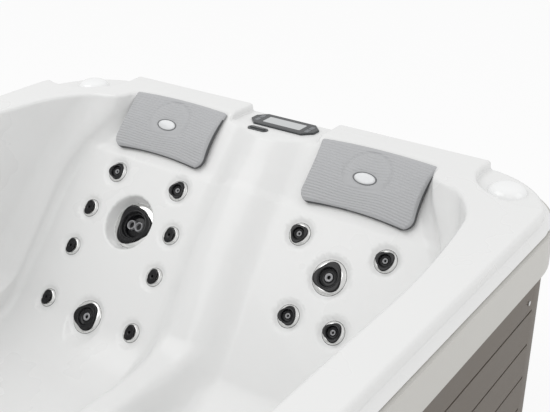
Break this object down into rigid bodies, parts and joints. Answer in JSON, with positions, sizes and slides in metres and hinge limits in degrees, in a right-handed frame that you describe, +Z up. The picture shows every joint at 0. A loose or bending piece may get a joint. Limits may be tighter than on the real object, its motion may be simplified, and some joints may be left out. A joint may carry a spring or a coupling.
{
  "type": "hot tub",
  "caption": "Portable acrylic hot tub with reclined jet seats, foam pillows, topside controls, filter well, cabinet and pump equipment.",
  "frame": {"origin": "centre of the footprint, on the floor", "axes": "+Z up, +Y towards the side with the reclined seats and the control panel, +X to the right when facing that side from the footwell"},
  "size_m": [1.69, 2.14, 0.8635],
  "materials": {
    "acrylic_white": "gloss",
    "trim_beige": "satin",
    "cabinet_taupe": "satin",
    "pillow_foam": "satin",
    "badge_white": "gloss",
    "jet_black": "gloss",
    "jet_steel": "polished",
    "plumbing_white": "satin",
    "panel_grey": "satin",
    "display_window": "gloss",
    "key_grey": "satin",
    "fitting_white": "gloss",
    "fitting_grey": "satin",
    "frame_timber": "sawn",
    "screw_steel": "brushed",
    "pan_black": "matte",
    "support_foam": "matte",
    "filter_fleece": "matte",
    "light_lens": "gloss",
    "motor_paint": "satin",
    "pump_black": "satin",
    "rotor_steel": "machined",
    "heater_steel": "brushed",
    "box_grey": "matte"
  },
  "bodies": {
    "tub": {"base_pan": "pan_black", "button_collar": "fitting_white", "control_box": "box_grey", "control_display": "display_window", "control_panel": "panel_grey", "corner_covers": "cabinet_taupe", "diverter_valves": "plumbing_white", "filter_cartridge": "filter_fleece", "floor_drain": "fitting_grey", "footwell_light": "light_lens", "frame_posts": "frame_timber", "frame_rails": "frame_timber", "front_panel": "cabinet_taupe", "front_pillows": "pillow_foam", "heater": "heater_steel", "jet_bodies": "plumbing_white", "jet_nuts": "plumbing_white", "jet_rings": "jet_steel", "panel_screws": "screw_steel", "pillow_badges": "badge_white", "pillow_rear_left": "pillow_foam", "pillow_rear_right": "pillow_foam", "pillow_studs": "plumbing_white", "pump_motor": "motor_paint", "pump_wet_end": "pump_black", "rear_access_panel": "cabinet_taupe", "rim_trim": "trim_beige", "shell": "acrylic_white", "shell_supports": "support_foam", "side_panels": "cabinet_taupe", "suction_covers": "fitting_grey", "water_pipes": "plumbing_white"},
    "rear_left_m1_face": {"jet_rear_left_m1": "jet_black"},
    "rear_left_m2_face": {"jet_rear_left_m2": "jet_black"},
    "rear_left_xl1_face": {"jet_rear_left_xl1": "jet_black"},
    "xl_spinner": {"jet_spinner": "jet_black"},
    "rear_left_s1_face": {"jet_rear_left_s1": "jet_black"},
    "rear_left_s2_face": {"jet_rear_left_s2": "jet_black"},
    "rear_left_s3_face": {"jet_rear_left_s3": "jet_black"},
    "rear_left_s4_face": {"jet_rear_left_s4": "jet_black"},
    "rear_left_s5_face": {"jet_rear_left_s5": "jet_black"},
    "rear_left_s6_face": {"jet_rear_left_s6": "jet_black"},
    "rear_left_l1_face": {"jet_rear_left_l1": "jet_black"},
    "rear_right_m1_face": {"jet_rear_right_m1": "jet_black"},
    "rear_right_m2_face": {"jet_rear_right_m2": "jet_black"},
    "rear_right_l1_face": {"jet_rear_right_l1": "jet_black"},
    "rear_right_m3_face": {"jet_rear_right_m3": "jet_black"},
    "rear_right_m4_face": {"jet_rear_right_m4": "jet_black"},
    "front_left_m1_face": {"jet_front_left_m1": "jet_black"},
    "front_right_m1_face": {"jet_front_right_m1": "jet_black"},
    "key_warm": {"key_warm": "key_grey"},
    "key_cool": {"key_cool": "key_grey"},
    "key_jets": {"key_jets": "key_grey"},
    "key_light": {"key_light": "key_grey"},
    "jets_button": {"jets_button": "fitting_white"},
    "diverter_knob_left": {"diverter_knob_left": "fitting_white"},
    "diverter_knob_right": {"diverter_knob_right": "fitting_white"},
    "filter_lid": {"filter_lid": "fitting_white"},
    "weir_flap": {"weir_flap": "fitting_white"},
    "pump_rotor": {"pump_rotor": "rotor_steel"}
  },
  "joints": [
    {"name": "rear_left_m1_turn", "type": "hinge", "parent": "tub", "child": "rear_left_m1_face", "pos_m": [-0.454, 0.76842, 0.65928], "axis": [0, -0.749, 0.6626], "range_deg": [0, 90]},
    {"name": "rear_left_m2_turn", "type": "hinge", "parent": "tub", "child": "rear_left_m2_face", "pos_m": [-0.218, 0.76842, 0.65928], "axis": [0, -0.749, 0.6626], "range_deg": [0, 90]},
    {"name": "rear_left_xl1_turn", "type": "hinge", "parent": "tub", "child": "rear_left_xl1_face", "pos_m": [-0.336, 0.70276, 0.53979], "axis": [0, -0.749, 0.6626], "range_deg": [0, 90]},
    {"name": "rear_left_s1_turn", "type": "hinge", "parent": "tub", "child": "rear_left_s1_face", "pos_m": [-0.493, 0.68294, 0.56266], "axis": [0, -0.749, 0.6626], "range_deg": [0, 90]},
    {"name": "rear_left_s2_turn", "type": "hinge", "parent": "tub", "child": "rear_left_s2_face", "pos_m": [-0.179, 0.68294, 0.56266], "axis": [0, -0.749, 0.6626], "range_deg": [0, 90]},
    {"name": "rear_left_s3_turn", "type": "hinge", "parent": "tub", "child": "rear_left_s3_face", "pos_m": [-0.497, 0.59945, 0.4683], "axis": [0, -0.749, 0.6626], "range_deg": [0, 90]},
    {"name": "rear_left_s4_turn", "type": "hinge", "parent": "tub", "child": "rear_left_s4_face", "pos_m": [-0.175, 0.59945, 0.4683], "axis": [0, -0.749, 0.6626], "range_deg": [0, 90]},
    {"name": "rear_left_s5_turn", "type": "hinge", "parent": "tub", "child": "rear_left_s5_face", "pos_m": [-0.501, 0.48879, 0.34322], "axis": [0, -0.749, 0.6626], "range_deg": [0, 90]},
    {"name": "rear_left_s6_turn", "type": "hinge", "parent": "tub", "child": "rear_left_s6_face", "pos_m": [-0.171, 0.48879, 0.34322], "axis": [0, -0.749, 0.6626], "range_deg": [0, 90]},
    {"name": "rear_left_l1_turn", "type": "hinge", "parent": "tub", "child": "rear_left_l1_face", "pos_m": [-0.336, 0.48415, 0.33798], "axis": [0, -0.749, 0.6626], "range_deg": [0, 90]},
    {"name": "rear_right_m1_turn", "type": "hinge", "parent": "tub", "child": "rear_right_m1_face", "pos_m": [0.207, 0.76047, 0.65029], "axis": [0, -0.749, 0.6626], "range_deg": [0, 90]},
    {"name": "rear_right_m2_turn", "type": "hinge", "parent": "tub", "child": "rear_right_m2_face", "pos_m": [0.465, 0.76047, 0.65029], "axis": [0, -0.749, 0.6626], "range_deg": [0, 90]},
    {"name": "rear_right_l1_turn", "type": "hinge", "parent": "tub", "child": "rear_right_l1_face", "pos_m": [0.336, 0.70414, 0.58663], "axis": [0, -0.749, 0.6626], "range_deg": [0, 90]},
    {"name": "rear_right_m3_turn", "type": "hinge", "parent": "tub", "child": "rear_right_m3_face", "pos_m": [0.268, 0.61933, 0.49077], "axis": [0, -0.749, 0.6626], "range_deg": [0, 90]},
    {"name": "rear_right_m4_turn", "type": "hinge", "parent": "tub", "child": "rear_right_m4_face", "pos_m": [0.404, 0.61933, 0.49077], "axis": [0, -0.749, 0.6626], "range_deg": [0, 90]},
    {"name": "front_left_m1_turn", "type": "hinge", "parent": "tub", "child": "front_left_m1_face", "pos_m": [-0.336, -0.81924, 0.6216], "axis": [0, 0.8829, 0.4695], "range_deg": [0, 90]},
    {"name": "front_right_m1_turn", "type": "hinge", "parent": "tub", "child": "front_right_m1_face", "pos_m": [0.336, -0.81924, 0.6216], "axis": [0, 0.8829, 0.4695], "range_deg": [0, 90]},
    {"name": "xl_spinner_turn", "type": "hinge", "parent": "rear_left_xl1_face", "child": "xl_spinner", "pos_m": [-0.336, 0.70276, 0.53979], "axis": [0, -0.749, 0.6626], "continuous": true},
    {"name": "key_warm_press", "type": "slide", "parent": "tub", "child": "key_warm", "axis": [0, 0, -1], "range_m": [0, 0.001], "stiffness_N_per_m": 400, "springref_m": -0.001},
    {"name": "key_cool_press", "type": "slide", "parent": "tub", "child": "key_cool", "axis": [0, 0, -1], "range_m": [0, 0.001], "stiffness_N_per_m": 400, "springref_m": -0.001},
    {"name": "key_jets_press", "type": "slide", "parent": "tub", "child": "key_jets", "axis": [0, 0, -1], "range_m": [0, 0.001], "stiffness_N_per_m": 400, "springref_m": -0.001},
    {"name": "key_light_press", "type": "slide", "parent": "tub", "child": "key_light", "axis": [0, 0, -1], "range_m": [0, 0.001], "stiffness_N_per_m": 400, "springref_m": -0.001},
    {"name": "jets_button_press", "type": "slide", "parent": "tub", "child": "jets_button", "axis": [0, 0, -1], "range_m": [0, 0.003], "stiffness_N_per_m": 400, "springref_m": -0.002},
    {"name": "diverter_left_turn", "type": "hinge", "parent": "tub", "child": "diverter_knob_left", "pos_m": [-0.695, 0.931, 0.839], "axis": [0, 0, 1], "range_deg": [0, 180]},
    {"name": "diverter_right_turn", "type": "hinge", "parent": "tub", "child": "diverter_knob_right", "pos_m": [0.695, 0.931, 0.839], "axis": [0, 0, 1], "range_deg": [0, 180]},
    {"name": "filter_lid_twist", "type": "hinge", "parent": "tub", "child": "filter_lid", "pos_m": [0, -0.85, 0.86], "axis": [0, 0, 1], "range_deg": [0, 30]},
    {"name": "weir_flap_swing", "type": "hinge", "parent": "tub", "child": "weir_flap", "pos_m": [0, -0.706, 0.6643], "axis": [1, 0, 0], "range_deg": [0, 75]},
    {"name": "pump_rotor_spin", "type": "hinge", "parent": "tub", "child": "pump_rotor", "pos_m": [0.33, 0.79, 0.135], "axis": [1, 0, 0], "continuous": true}
  ]
}
